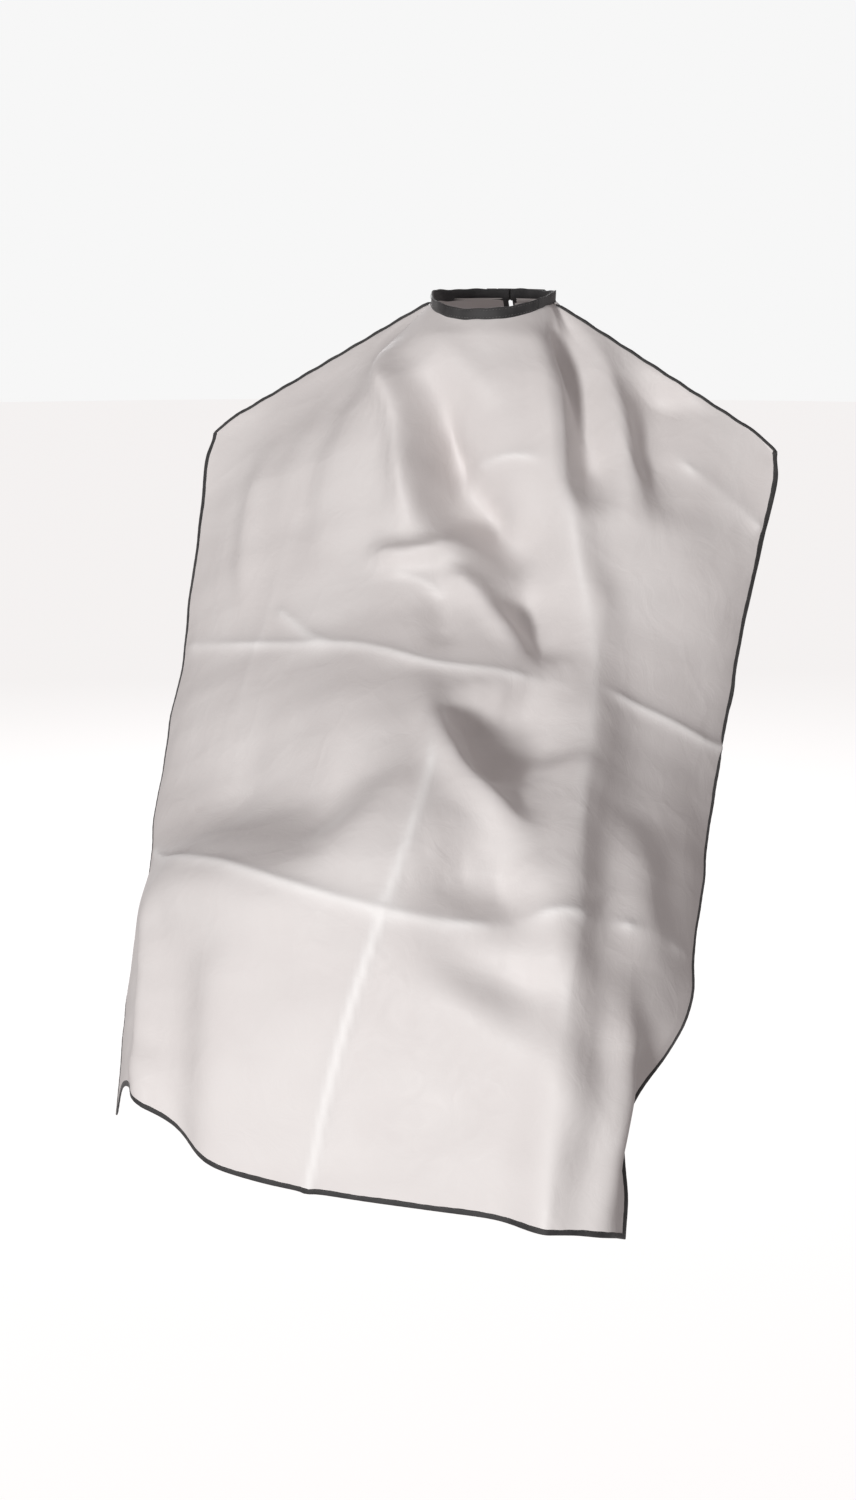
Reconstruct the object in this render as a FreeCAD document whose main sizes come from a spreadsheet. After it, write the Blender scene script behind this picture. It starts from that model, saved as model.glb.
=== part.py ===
import FreeCAD, Part
import math
import os
import Sketcher

# Barber cape, worn shape, in millimetres.  The origin is the centre of the
# neckband.  +Z is up, the wearer faces -Y and the wearer's left side is +X.
# The cloth is drawn thicker than it is, so that each panel is a sound solid.

DIMENSIONS = {
    # neckband: three layers of tape round the neck
    "BandInnerRadius": 62.0,
    "LiningThick": 0.9,
    "InterliningThick": 1.0,
    "OuterThick": 0.9,
    "BandHeight": 13.0,
    "InterliningHeight": 10.0,
    "HingeAngle": 100.0,     # from the front centre round to where an arm starts to swing
    "JointGapAngle": 1.4,    # each side of the swing line
    "BackGapAngle": 1.0,     # each side of the back centre
    # hook and loop closure
    "FastenerThick": 0.8,
    "FastenerHeight": 10.0,
    "FastenerGap": 0.35,
    "LoopStripAngle": 52.0,
    "LoopStripStart": 126.0,
    "HookPadAngle": 34.0,
    "HookPadInset": 2.0,     # from the tab's free end, in degrees
    "TabAngle": 52.0,
    "TabRootAngle": 12.0,    # past the back centre, on the wearer's right
    "TabAnchorAngle": 9.0,
    "TabHeight": 12.0,
    "TabOuterThick": 0.9,
    "TabCornerRadius": 4.0,
    # cape
    "ClothThick": 1.2,
    "BindingWidth": 7.0,
    "BindingProud": 0.7,
    "PipingRadius": 1.8,
    "PipingStart": 7.0,      # along the seam from the neck edge
    "NeckEdgeRadius": 66.5,
    "NeckEdgeDrop": 8.5,
    "NeckEdgeEasing": 3.0,   # how much wider the neck edge is at the shoulders
    "SeamClearance": 0.3,    # between the piping and the bindings beside it
    "ShoulderHalfWidth": 318.0,
    "ShoulderRightWidth": 325.0,
    "ShoulderLeftWidth": 309.0,
    "ShoulderDrop": 150.0,
    "KneeReach": 505.0,
    "FrontHemDrop": 808.0,
    "BackHemDrop": 440.0,
    "BackReach": 142.0,
    "BackSlitTop": 4.0,
    "BackSlitHem": 22.0,
    "LabelWidth": 25.0,
    "LabelLength": 34.0,
    "LabelThick": 0.4,
    "LabelOffset": 8.0,      # from the back centre to the label's side
    "LabelInset": 12.5,      # from the neck edge in to the label
}

# Rows of the front panel below its top edge, in shares of the shoulder half width,
# the knee reach and the front hem drop.  Each row has the centre line's reach and
# drop, then the half width, reach and drop of the side edge on the wearer's right
# and on the left, the squareness of its plan, and how far it still follows the
# slope of the shoulders.  The cape sits a little askew: it is wider and shorter on
# the wearer's right.
FRONT_ROWS = [
    (0.190, 0.090, (1.025, 0.030, 0.270), (0.940, 0.035, 0.270), 2.0, 1.00),
    (0.262, 0.235, (1.035, 0.085, 0.390), (0.890, 0.100, 0.400), 2.0, 0.95),
    (0.350, 0.370, (1.035, 0.165, 0.510), (0.860, 0.190, 0.530), 2.1, 0.85),
    (0.600, 0.475, (1.010, 0.300, 0.630), (0.860, 0.310, 0.620), 2.2, 0.75),
    (0.870, 0.560, (0.970, 0.460, 0.745), (0.900, 0.490, 0.720), 2.4, 0.60),
    (0.985, 0.730, (0.925, 0.610, 0.860), (0.890, 0.720, 0.830), 2.6, 0.25),
    (1.000, 0.985, (0.850, 0.760, 0.960), (0.850, 0.900, 1.015), 2.6, 0.00),
]

# Rows of each back panel, in the same order, in shares of the shoulder half width,
# the back reach and the back hem drop.
BACK_ROWS = [
    (0.660, 0.100, (1.000, 0.090, 0.440), (0.925, 0.090, 0.440), 2.0, 1.00),
    (0.870, 0.300, (0.985, 0.250, 0.600), (0.870, 0.250, 0.600), 2.0, 0.90),
    (0.965, 0.640, (0.950, 0.400, 0.800), (0.815, 0.400, 0.800), 2.0, 0.60),
    (1.000, 0.985, (0.920, 0.500, 1.000), (0.780, 0.500, 1.000), 2.0, 0.20),
]

COLUMN_ANGLES = [0, 12, 24, 36, 48, 58, 68, 79, 90]
NECK_COLUMN_ANGLES = [0, 24, 47, 68, 84]
SHOULDER_COLUMN_SHARES = [0.12, 0.38, 0.69, 1.0]

document = FreeCAD.newDocument("BarberCape")
sheet = document.addObject("Spreadsheet::Sheet", "Params")
for row, (name, value) in enumerate(DIMENSIONS.items(), start=1):
    sheet.set(f"A{row}", name)
    sheet.set(f"B{row}", str(value))
    sheet.setAlias(f"B{row}", name)
document.recompute()


def dim(name):
    """Return one driving dimension from the sheet."""
    return float(sheet.get(name))


def origin_plane(body, role):
    """Return one of the body's own origin planes or axes."""
    return next(item for item in body.Origin.OriginFeatures if item.Role == role)


def ring_sector(label, inner, thick, height, start, sweep):
    """Curved strip round +Z: a rectangle turned through an angle.

    inner, thick, height, start and sweep are expressions of the sheet.
    start is counted from -Y towards +X.
    """
    body = document.addObject("PartDesign::Body", label)
    body.Label = label
    sketch = body.newObject("Sketcher::SketchObject", label + "_section")
    sketch.AttachmentSupport = [(origin_plane(body, "XZ_Plane"), "")]
    sketch.MapMode = "FlatFace"
    corners = [(60, -10), (62, -10), (62, 10), (60, 10)]
    for index, corner in enumerate(corners):
        after = corners[(index + 1) % 4]
        sketch.addGeometry(Part.LineSegment(FreeCAD.Vector(*corner, 0), FreeCAD.Vector(*after, 0)))
    for index in range(4):
        sketch.addConstraint(Sketcher.Constraint("Coincident", index, 2, (index + 1) % 4, 1))
    for index, kind in enumerate(("Horizontal", "Vertical", "Horizontal", "Vertical")):
        sketch.addConstraint(Sketcher.Constraint(kind, index))
    sizes = [
        ("DistanceX", (-1, 1, 0, 1), 60, inner),
        ("DistanceX", (0, 1, 0, 2), 2, thick),
        ("DistanceY", (1, 1, 1, 2), 20, height),
        ("DistanceY", (0, 1, -1, 1), 10, f"({height}) / 2"),
    ]
    for kind, points, value, expression in sizes:
        number = sketch.addConstraint(Sketcher.Constraint(kind, *points, value))
        sketch.setExpression(f"Constraints[{number}]", expression)
    turned = body.newObject("PartDesign::Revolution", label + "_turned")
    turned.Profile = (sketch, [""])
    turned.ReferenceAxis = (sketch, ["V_Axis"])
    turned.setExpression("Angle", sweep)
    upright = FreeCAD.Rotation(FreeCAD.Vector(0, 0, 1), -90)
    body.Placement = FreeCAD.Placement(FreeCAD.Vector(), upright)
    body.setExpression("Placement.Rotation.Angle", f"{start} - 90")
    return body


def round_end(body, corner_angle, radius):
    """Round the two corners of a strip's free end, which lies at corner_angle."""
    document.recompute()
    turned = body.Tip
    names = []
    for index, edge in enumerate(turned.Shape.Edges, start=1):
        start, end = (body.Placement.multVec(vertex.Point) for vertex in edge.Vertexes)
        level = abs(start.z - end.z) < 0.01
        radial = level and abs(math.hypot(start.x, start.y) - math.hypot(end.x, end.y)) > 0.3
        angle = math.degrees(math.atan2(start.x, -start.y)) % 360
        if radial and abs(angle - corner_angle % 360) < 0.5:
            names.append(f"Edge{index}")
    fillet = body.newObject("PartDesign::Fillet", body.Label + "_round")
    fillet.Base = (turned, names)
    fillet.setExpression("Radius", f"Params.{radius}")
    body.Tip = fillet
    return body


def neckband():
    """Three sewn layers in three lengths: the front and the two arms."""
    layers = {
        "lining": ("Params.BandInnerRadius", "Params.LiningThick", "Params.BandHeight"),
        "interlining": (
            "Params.BandInnerRadius + Params.LiningThick",
            "Params.InterliningThick",
            "Params.InterliningHeight",
        ),
        "outer": (
            "Params.BandInnerRadius + Params.LiningThick + Params.InterliningThick",
            "Params.OuterThick",
            "Params.BandHeight",
        ),
    }
    arm_sweep = "180 - Params.HingeAngle - Params.JointGapAngle - Params.BackGapAngle"
    lengths = {
        "front": (
            "-Params.HingeAngle + Params.JointGapAngle",
            "2 * Params.HingeAngle - 2 * Params.JointGapAngle",
        ),
        "left": ("Params.HingeAngle + Params.JointGapAngle", arm_sweep),
        "right": ("180 + Params.BackGapAngle", arm_sweep),
    }
    pieces = []
    for part_name, (start, sweep) in lengths.items():
        for layer_name, (inner, thick, height) in layers.items():
            label = f"neckband_{part_name}_{layer_name}"
            pieces.append(ring_sector(label, inner, thick, height, start, sweep))
    return pieces


def closure():
    """Loop strip on the left arm, and the tab with its hook pad on the right arm."""
    band_outside = "Params.BandInnerRadius + Params.LiningThick + Params.InterliningThick + Params.OuterThick"
    pad_inside = f"{band_outside} + Params.FastenerThick + Params.FastenerGap"
    tab_inside = f"{pad_inside} + Params.FastenerThick"
    loop_strip = ring_sector(
        "loop_strip",
        band_outside,
        "Params.FastenerThick",
        "Params.FastenerHeight",
        "Params.LoopStripStart",
        "Params.LoopStripAngle",
    )
    tab_start = "180 + Params.TabRootAngle - Params.TabAngle"
    hook_pad = ring_sector(
        "hook_pad",
        pad_inside,
        "Params.FastenerThick",
        "Params.FastenerHeight",
        f"{tab_start} + Params.HookPadInset",
        "Params.HookPadAngle",
    )
    tab = ring_sector(
        "closure_tab",
        tab_inside,
        "Params.TabOuterThick",
        "Params.TabHeight",
        tab_start,
        "Params.TabAngle",
    )
    free_end = 180 + dim("TabRootAngle") - dim("TabAngle")
    return [loop_strip, hook_pad, round_end(tab, free_end, "TabCornerRadius")]


def tab_anchor():
    """Sewn tail of the tab, folded on itself, that joins the tab's root to the right arm."""
    band_outside = "Params.BandInnerRadius + Params.LiningThick + Params.InterliningThick + Params.OuterThick"
    return ring_sector(
        "tab_anchor",
        band_outside,
        "2 * Params.FastenerThick + Params.FastenerGap + Params.TabOuterThick",
        "Params.TabHeight",
        "180 + Params.TabRootAngle + Params.JointGapAngle",
        "Params.TabAnchorAngle",
    )


def shoulder_corner(side_name):
    """How far out and down the end of one shoulder seam is."""
    return dim(f"Shoulder{side_name}Width"), dim("ShoulderDrop")


def top_edge(back, side_name):
    """Half of a panel's top edge: round the neck, then straight out along the shoulder."""
    side = 1 if back else -1
    radius = dim("NeckEdgeRadius")
    drop = dim("NeckEdgeDrop")
    seam = dim("PipingRadius") + dim("ClothThick") + dim("BindingProud") + dim("SeamClearance")
    corner_x, corner_drop = shoulder_corner(side_name)
    points = []
    for angle in NECK_COLUMN_ANGLES:
        turn = math.radians(angle)
        eased = radius + dim("NeckEdgeEasing") * (angle / 90) ** 4
        points.append(FreeCAD.Vector(eased * math.sin(turn), side * eased * math.cos(turn), -drop))
    for share in SHOULDER_COLUMN_SHARES:
        x = radius + share * (corner_x - radius)
        z = -drop - share * (corner_drop - drop)
        points.append(FreeCAD.Vector(x, side * seam, z))
    return points


def shoulder_height(x):
    """Height of the top edge above a point x across: level at the neck, then a slope."""
    drop = dim("NeckEdgeDrop")
    share = (x - dim("NeckEdgeRadius")) / (dim("ShoulderHalfWidth") - dim("NeckEdgeRadius"))
    return -drop - max(share, 0) * (dim("ShoulderDrop") - drop)


def plan_row(centre, edge, squareness, slope_share):
    """Half row from the centre line to the side edge, on a rounded-square plan."""
    centre_fall = centre.z - shoulder_height(centre.x)
    edge_fall = edge.z - shoulder_height(edge.x)
    points = []
    for angle in COLUMN_ANGLES:
        turn = math.radians(angle)
        across = math.sin(turn) ** (2 / squareness)
        forward = max(math.cos(turn), 0) ** (2 / squareness)
        x = centre.x + (edge.x - centre.x) * across
        y = edge.y + (centre.y - edge.y) * forward
        outward = 1 - math.cos(turn)
        level = centre.z + (edge.z - centre.z) * outward
        sloped = shoulder_height(x) + centre_fall + (edge_fall - centre_fall) * outward
        points.append(FreeCAD.Vector(x, y, level + (sloped - level) * slope_share))
    return points


def inset(points):
    """Add one more point a binding's width inside the last one."""
    last = points[-1]
    inward = (points[-2] - last).normalize() * dim("BindingWidth")
    return [*points[:-1], last + inward, last]


def panel_rows(shares, reach, hem_drop, back, side_name):
    """All half rows of one side of a panel, top edge first, drawn towards +X."""
    side = 1 if back else -1
    width = dim("ShoulderHalfWidth")
    rows = [top_edge(back, side_name)]
    for count, (centre_reach, centre_drop, right, left, squareness, slope) in enumerate(shares, start=1):
        slit = 0.0
        if back:
            slit = dim("BackSlitTop") + count / len(shares) * (dim("BackSlitHem") - dim("BackSlitTop"))
        half, edge_reach, edge_drop = right if side_name == "Right" else left
        centre = FreeCAD.Vector(slit, side * reach * centre_reach, -hem_drop * centre_drop)
        edge = FreeCAD.Vector(width * half, side * reach * edge_reach, -hem_drop * edge_drop)
        rows.append(plan_row(centre, edge, squareness, slope))
    if back:
        rows[0][0] = FreeCAD.Vector(dim("BackSlitTop"), rows[0][0].y, rows[0][0].z)
        rows = [inset(row[::-1])[::-1] for row in rows]
    return list(zip(*(inset(column) for column in zip(*(inset(row) for row in rows)))))


def mirrored(points):
    """The same points on the wearer's right."""
    return [FreeCAD.Vector(-point.x, point.y, point.z) for point in points]


def draped_surface(rows):
    """Smooth cubic surface whose control net is the given rows.

    Its first parameter runs down the rows and its second one runs across them.
    """
    surface = Part.BSplineSurface()
    counts = (len(rows), len(rows[0]))
    knots = [list(range(count - 2)) for count in counts]
    repeats = [[4] + [1] * (count - 4) + [4] for count in counts]
    surface.buildFromPolesMultsKnots([list(row) for row in rows], *repeats, *knots, False, False, 3, 3)
    return surface


def inside_edge(surface, across, end):
    """Parameter of the line one binding width inside an edge of the surface.

    across picks the second parameter, and end is 0 at its start or 1 at its end.
    """
    bounds = surface.bounds()
    low, high = bounds[2:] if across else bounds[:2]
    middle = (bounds[0] + bounds[1]) / 2 if across else (bounds[2] + bounds[3]) / 2
    edge = high if end else low
    near = edge
    far = (low + high) / 2
    for _ in range(30):
        trial = (near + far) / 2
        places = [(middle, value) if across else (value, middle) for value in (edge, trial)]
        width = (surface.value(*places[0]) - surface.value(*places[1])).Length
        if width < dim("BindingWidth"):
            near = trial
        else:
            far = trial
    return near


def cloth_piece(label, surface, down, across, proud):
    """Solid of one window of a surface: the cloth's thickness, plus proud on both faces."""
    window = surface.copy()
    window.segment(*down, *across)
    face = window.toShape()
    if proud:
        face = face.makeOffsetShape(-proud, 0.01).Faces[0]
    piece = document.addObject("Part::Feature", label)
    piece.Label = label
    thick = face.makeOffsetShape(dim("ClothThick") + 2 * proud, 0.01, fill=True)
    piece.Shape = thick.Solids[0] if thick.Solids else Part.Solid(thick.Shells[0])
    piece.Placement = FreeCAD.Placement()
    return piece


def front_panel():
    """Front panel, with the bindings of its hem and of its two side edges."""
    halves = [
        panel_rows(FRONT_ROWS, dim("KneeReach"), dim("FrontHemDrop"), False, side_name)
        for side_name in ("Right", "Left")
    ]
    surface = draped_surface([mirrored(row[:0:-1]) + list(other) for row, other in zip(*halves)])
    top, bottom, right, left = surface.bounds()
    hem = inside_edge(surface, False, 1)
    right_line = inside_edge(surface, True, 0)
    left_line = inside_edge(surface, True, 1)
    inside = (right_line, left_line)
    proud = dim("BindingProud")
    return [
        cloth_piece("front_panel", surface, (top, hem), inside, 0),
        cloth_piece("front_hem_binding", surface, (hem, bottom), inside, proud),
        cloth_piece("front_side_binding_right", surface, (top, bottom), (right, right_line), proud),
        cloth_piece("front_side_binding_left", surface, (top, bottom), (left_line, left), proud),
    ]


def back_panel(side_name):
    """One back panel, with the bindings of its hem, its side edge and the back opening."""
    rows = panel_rows(BACK_ROWS, dim("BackReach"), dim("BackHemDrop"), True, side_name.capitalize())
    if side_name == "right":
        rows = [mirrored(row) for row in rows]
    surface = draped_surface(rows)
    top, bottom, centre, outer = surface.bounds()
    hem = inside_edge(surface, False, 1)
    centre_line = inside_edge(surface, True, 0)
    outer_line = inside_edge(surface, True, 1)
    inside = (centre_line, outer_line)
    proud = dim("BindingProud")
    return [
        cloth_piece(f"back_panel_{side_name}", surface, (top, hem), inside, 0),
        cloth_piece(f"back_hem_binding_{side_name}", surface, (hem, bottom), inside, proud),
        cloth_piece(f"back_side_binding_{side_name}", surface, (top, bottom), (outer_line, outer), proud),
        cloth_piece(f"opening_binding_{side_name}", surface, (top, bottom), (centre, centre_line), proud),
    ]


def shoulder_piping(side_name):
    """Round piping in the shoulder seam, from beside the neck to the shoulder corner."""
    side = 1 if side_name == "left" else -1
    corner_x, corner_drop = shoulder_corner(side_name.capitalize())
    corner = FreeCAD.Vector(side * corner_x, 0, -corner_drop)
    neck = FreeCAD.Vector(side * dim("NeckEdgeRadius"), 0, -dim("NeckEdgeDrop"))
    along = corner - neck
    start = neck + along * (dim("PipingStart") / along.Length)
    piping = document.addObject("Part::Cylinder", f"shoulder_piping_{side_name}")
    piping.Label = f"shoulder_piping_{side_name}"
    piping.setExpression("Radius", "Params.PipingRadius")
    piping.Height = (corner - start).Length
    piping.Placement = FreeCAD.Placement(start, FreeCAD.Rotation(FreeCAD.Vector(0, 0, 1), along))
    return piping


def care_label():
    """Blank woven label that hangs inside the left back panel, under the neckband."""
    label = document.addObject("Part::Box", "care_label")
    label.Label = "care_label"
    label.setExpression("Length", "Params.LabelWidth")
    label.setExpression("Width", "Params.LabelThick")
    label.setExpression("Height", "Params.LabelLength")
    label.setExpression("Placement.Base.x", "Params.LabelOffset")
    label.setExpression("Placement.Base.y", "Params.NeckEdgeRadius - Params.LabelInset")
    label.setExpression("Placement.Base.z", "-Params.NeckEdgeDrop - Params.LabelLength")
    return label


pieces = neckband() + closure() + [tab_anchor()] + front_panel()
for side_name in ("left", "right"):
    pieces += back_panel(side_name)
    pieces.append(shoulder_piping(side_name))
pieces.append(care_label())
document.recompute()

for item in document.Objects:
    if "Invalid" in item.State or "Error" in item.State:
        raise RuntimeError(f"{item.Label} did not recompute: {item.State}")
for piece in pieces:
    if piece.Shape.isNull() or not piece.Shape.isValid() or piece.Shape.Volume <= 0:
        raise RuntimeError(f"{piece.Label} is not a sound solid")

os.makedirs("parts", exist_ok=True)
for piece in pieces:
    piece.Shape.exportStep(f"parts/{piece.Label}.step")
    box = piece.Shape.BoundBox
    solids = len(piece.Shape.Solids)
    volume = piece.Shape.Volume / 1000
    print(f"{piece.Label}: {volume:.1f} cm3, {solids} solid, z {box.ZMin:.1f} to {box.ZMax:.1f}")
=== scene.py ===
import math
import bpy
import numpy as np
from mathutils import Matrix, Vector


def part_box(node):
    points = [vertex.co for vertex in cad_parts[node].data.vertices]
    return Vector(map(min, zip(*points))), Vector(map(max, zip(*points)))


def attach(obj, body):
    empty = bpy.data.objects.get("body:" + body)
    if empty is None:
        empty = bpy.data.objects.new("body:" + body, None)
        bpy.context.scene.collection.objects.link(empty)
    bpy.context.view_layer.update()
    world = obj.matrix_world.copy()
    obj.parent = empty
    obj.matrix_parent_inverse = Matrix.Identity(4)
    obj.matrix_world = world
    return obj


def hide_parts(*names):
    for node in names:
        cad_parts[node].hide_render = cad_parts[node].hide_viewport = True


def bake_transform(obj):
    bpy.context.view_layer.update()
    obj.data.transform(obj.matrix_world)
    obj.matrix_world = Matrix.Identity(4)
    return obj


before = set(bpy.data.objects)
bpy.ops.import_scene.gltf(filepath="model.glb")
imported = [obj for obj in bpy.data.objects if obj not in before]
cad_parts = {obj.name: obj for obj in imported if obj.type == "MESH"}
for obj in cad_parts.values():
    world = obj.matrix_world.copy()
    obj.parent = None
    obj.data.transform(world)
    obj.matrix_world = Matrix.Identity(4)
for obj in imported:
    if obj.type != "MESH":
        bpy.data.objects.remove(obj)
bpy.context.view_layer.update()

# Barber cape in its worn drape, in metres.  The origin is the centre of the neckband,
# +Z is up, the wearer faces -Y and the wearer's left side is +X.

scene = bpy.context.scene

# == cloth surface: the drape that the panels start from
BAND_OUTER = -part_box("neckband_front_outer")[0][1]
BAND_INNER = -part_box("neckband_front_lining")[0][1]
BAND_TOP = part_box("neckband_front_outer")[1][2]
BAND_SAG = 0.015  # how much lower the soft band hangs at the front
LINING_DEPTH = 0.0012  # from the lining's inside to the band's own cloth
NECK_RADIUS = BAND_INNER + LINING_DEPTH
NECK_DROP = 0.6 * BAND_TOP
NECK_SPREAD = 0.003  # how much wider the neckline is at its sides
SEAM_START = NECK_RADIUS + 0.003  # how far out the front and back panels begin to share points
PIPING_START = NECK_RADIUS + 0.0035
PIPING_INSET = 0.001  # from the outside of the CAD piping to the shoulder corner
SIDE_NAMES = {1: "left", -1: "right"}
CORNER = {}  # how far out and how high each shoulder corner is
for side, name in SIDE_NAMES.items():
    low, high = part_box(f"shoulder_piping_{name}")
    CORNER[side] = ((high[0] if side > 0 else -low[0]) - PIPING_INSET, low[2] + PIPING_INSET)
HALF_WIDTH = 0.318  # share 1 of the rows' half widths
KNEE_REACH = -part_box("front_panel")[0][1]
FRONT_DROP = 0.808  # share 1 of the rows' drops
BACK_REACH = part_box("back_panel_left")[1][1]
BACK_DROP = -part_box("back_panel_left")[0][2]
SHOULDER_FALL = CORNER[1][1] + NECK_DROP

# Rows of the front panel: centre reach and drop, then the side edge on the wearer's
# right and on the left as half width, reach and drop, then the squareness of the
# row's plan and how far it follows the slope of the shoulders.
FRONT_ROWS = [
    (0.190, 0.090, (1.025, 0.030, 0.270), (0.940, 0.035, 0.270), 2.0, 1.00),
    (0.262, 0.235, (1.035, 0.085, 0.390), (0.890, 0.100, 0.400), 2.0, 0.95),
    (0.350, 0.370, (1.035, 0.165, 0.510), (0.860, 0.190, 0.530), 2.1, 0.85),
    (0.600, 0.475, (1.010, 0.300, 0.630), (0.860, 0.310, 0.620), 2.2, 0.75),
    (0.870, 0.560, (0.970, 0.460, 0.745), (0.900, 0.490, 0.720), 2.4, 0.60),
    (0.985, 0.730, (0.925, 0.610, 0.860), (0.890, 0.720, 0.830), 2.6, 0.25),
    (0.990, 0.985, (0.850, 0.760, 0.955), (0.850, 0.900, 1.015), 2.6, 0.00),
]
BACK_ROWS = [
    (0.660, 0.100, (1.000, 0.090, 0.440), (0.925, 0.090, 0.440), 2.0, 1.00),
    (0.870, 0.300, (0.985, 0.250, 0.600), (0.870, 0.250, 0.600), 2.0, 0.90),
    (0.965, 0.640, (0.950, 0.400, 0.800), (0.815, 0.400, 0.800), 2.0, 0.60),
    (0.990, 0.985, (0.920, 0.500, 1.000), (0.780, 0.500, 1.000), 2.0, 0.20),
]
COLUMN_ANGLES = [0, 12, 24, 36, 48, 58, 68, 79, 90]
NECK_COLUMN_ANGLES = [0, 24, 47, 68, 84]
SHOULDER_COLUMN_SHARES = [0.12, 0.38, 0.69, 1.0]
LAST_TURN = {  # how far the rows turn backwards at their side edges, by back or front and side
    (False, 1): math.radians(84), (False, -1): math.radians(66),
    (True, 1): math.radians(84), (True, -1): math.radians(84),
}
SLIT_TOP = 0.003  # half the back opening at the neck
SLIT_HEM = 0.022  # and at the hem
FRONT_COLUMNS = 79
FRONT_LINES = 103
BACK_NECK_COLUMNS = 15
BACK_LINES = 45
FINER = 3  # how many times finer the finished cloth is than the simulated one


def sag(angle):
    """How far the neckband hangs below its level at an angle from the front centre."""
    return BAND_SAG * max(math.cos(angle), 0) ** 1.2


def top_edge(back, side):
    """Control points of half a panel's top edge: round the neck, then out along the shoulder."""
    facing = 1 if back else -1
    corner_x, corner_z = CORNER[side]
    points = []
    for degrees in NECK_COLUMN_ANGLES:
        angle = math.radians(degrees)
        radius = NECK_RADIUS + NECK_SPREAD * (degrees / 90) ** 4
        drop = NECK_DROP + (0 if back else sag(angle))
        points.append((radius * math.sin(angle), facing * radius * math.cos(angle), -drop))
    if back:
        points[0] = (SLIT_TOP, points[0][1], points[0][2])
    for share in SHOULDER_COLUMN_SHARES:
        x = NECK_RADIUS + share * (corner_x - NECK_RADIUS)
        points.append((x, 0.0, -NECK_DROP + share * (corner_z + NECK_DROP)))
    return points


def shoulder_height(x):
    """Height of the shoulder line above a point x across."""
    share = (x - NECK_RADIUS) / (HALF_WIDTH - NECK_RADIUS)
    return -NECK_DROP + max(share, 0) * SHOULDER_FALL


def plan_row(centre, edge, squareness, slope_share, last_turn):
    """Control points of half a row, from the centre line to the side edge.

    last_turn is how far the cloth has turned backwards at the edge, in radians.
    """
    centre_fall = centre[2] - shoulder_height(centre[0])
    edge_fall = edge[2] - shoulder_height(edge[0])
    power = 2 / squareness
    least = max(math.cos(last_turn), 0) ** power
    points = []
    for degrees in COLUMN_ANGLES:
        angle = last_turn * degrees / 90
        outward = 1 - math.cos(math.radians(degrees))
        x = centre[0] + (edge[0] - centre[0]) * (math.sin(angle) / math.sin(last_turn)) ** power
        forward = (max(math.cos(angle), 0) ** power - least) / (1 - least)
        y = edge[1] + (centre[1] - edge[1]) * forward
        level = centre[2] + (edge[2] - centre[2]) * outward
        sloped = shoulder_height(x) + centre_fall + (edge_fall - centre_fall) * outward
        points.append((x, y, level + (sloped - level) * slope_share))
    return points


def half_net(back, side):
    """Control net of one half of a panel, drawn towards +X."""
    facing, reach, drop = (1, BACK_REACH, BACK_DROP) if back else (-1, KNEE_REACH, FRONT_DROP)
    shares = BACK_ROWS if back else FRONT_ROWS
    rows = [top_edge(back, side)]
    for count, (centre_reach, centre_drop, right, left, squareness, slope) in enumerate(shares, start=1):
        slit = SLIT_TOP + count / len(shares) * (SLIT_HEM - SLIT_TOP) if back else 0.0
        half, edge_reach, edge_drop = left if side > 0 else right
        centre = (slit, facing * reach * centre_reach, -drop * centre_drop)
        edge = (HALF_WIDTH * half, facing * reach * edge_reach, -drop * edge_drop)
        rows.append(plan_row(centre, edge, squareness, slope, LAST_TURN[back, side]))
    return np.array(rows)


def basis(count, t):
    """Weights of the control points of a clamped cubic B-spline at parameters t from 0 to 1."""
    knots = np.concatenate([[0] * 3, np.arange(count - 2), [count - 3] * 3]).astype(float)
    x = np.minimum(t * (count - 3), count - 3 - 1e-9)[:, None]
    weights = ((knots[:-1] <= x) & (x < knots[1:])).astype(float)
    for degree in range(1, 4):
        kept = len(knots) - degree - 1
        rise = knots[degree:degree + kept] - knots[:kept]
        fall = knots[degree + 1:degree + 1 + kept] - knots[1:1 + kept]
        up = (x - knots[:kept]) / np.where(rise > 0, rise, 1) * (rise > 0)
        down = (knots[degree + 1:degree + 1 + kept] - x) / np.where(fall > 0, fall, 1) * (fall > 0)
        weights = up * weights[:, :kept] + down * weights[:, 1:kept + 1]
    return weights


def surface(net, down, across):
    """Points of the surface over a control net, as rows x columns x 3."""
    return np.einsum("ui,vj,ijk->uvk", basis(net.shape[0], down), basis(net.shape[1], across), net)


def running(steps):
    """Distance travelled after each step, from 0."""
    return np.concatenate([[0], np.cumsum(steps)])


def share_of(steps):
    """Share travelled after each step, from 0 to 1."""
    total = running(steps)
    return total / total[-1]


def steps_of(line):
    """Distances between neighbouring points of a line."""
    return np.linalg.norm(np.diff(line, axis=0), axis=1)


def even(lengths, count):
    """Parameters that share out a run of lengths evenly."""
    travelled = running(lengths)
    wanted = np.linspace(0, travelled[-1], count)
    return np.interp(wanted, travelled, np.linspace(0, 1, len(travelled)))


def run(points, axis):
    """Mean distance between neighbouring points along an axis."""
    steps = np.linalg.norm(np.diff(points, axis=axis), axis=2)
    return steps.mean(axis=1 - axis)


front_net = np.concatenate([half_net(False, -1)[:, :0:-1] * (-1, 1, 1), half_net(False, 1)], axis=1)
dense = np.linspace(0, 1, 401)
front_dense = surface(front_net, dense, dense)
front_across = even(run(front_dense, 1) + run(front_dense[:2], 1), FRONT_COLUMNS)
front_down = even(run(front_dense, 0), FRONT_LINES)
front_base = surface(front_net, front_down, front_across)


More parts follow.
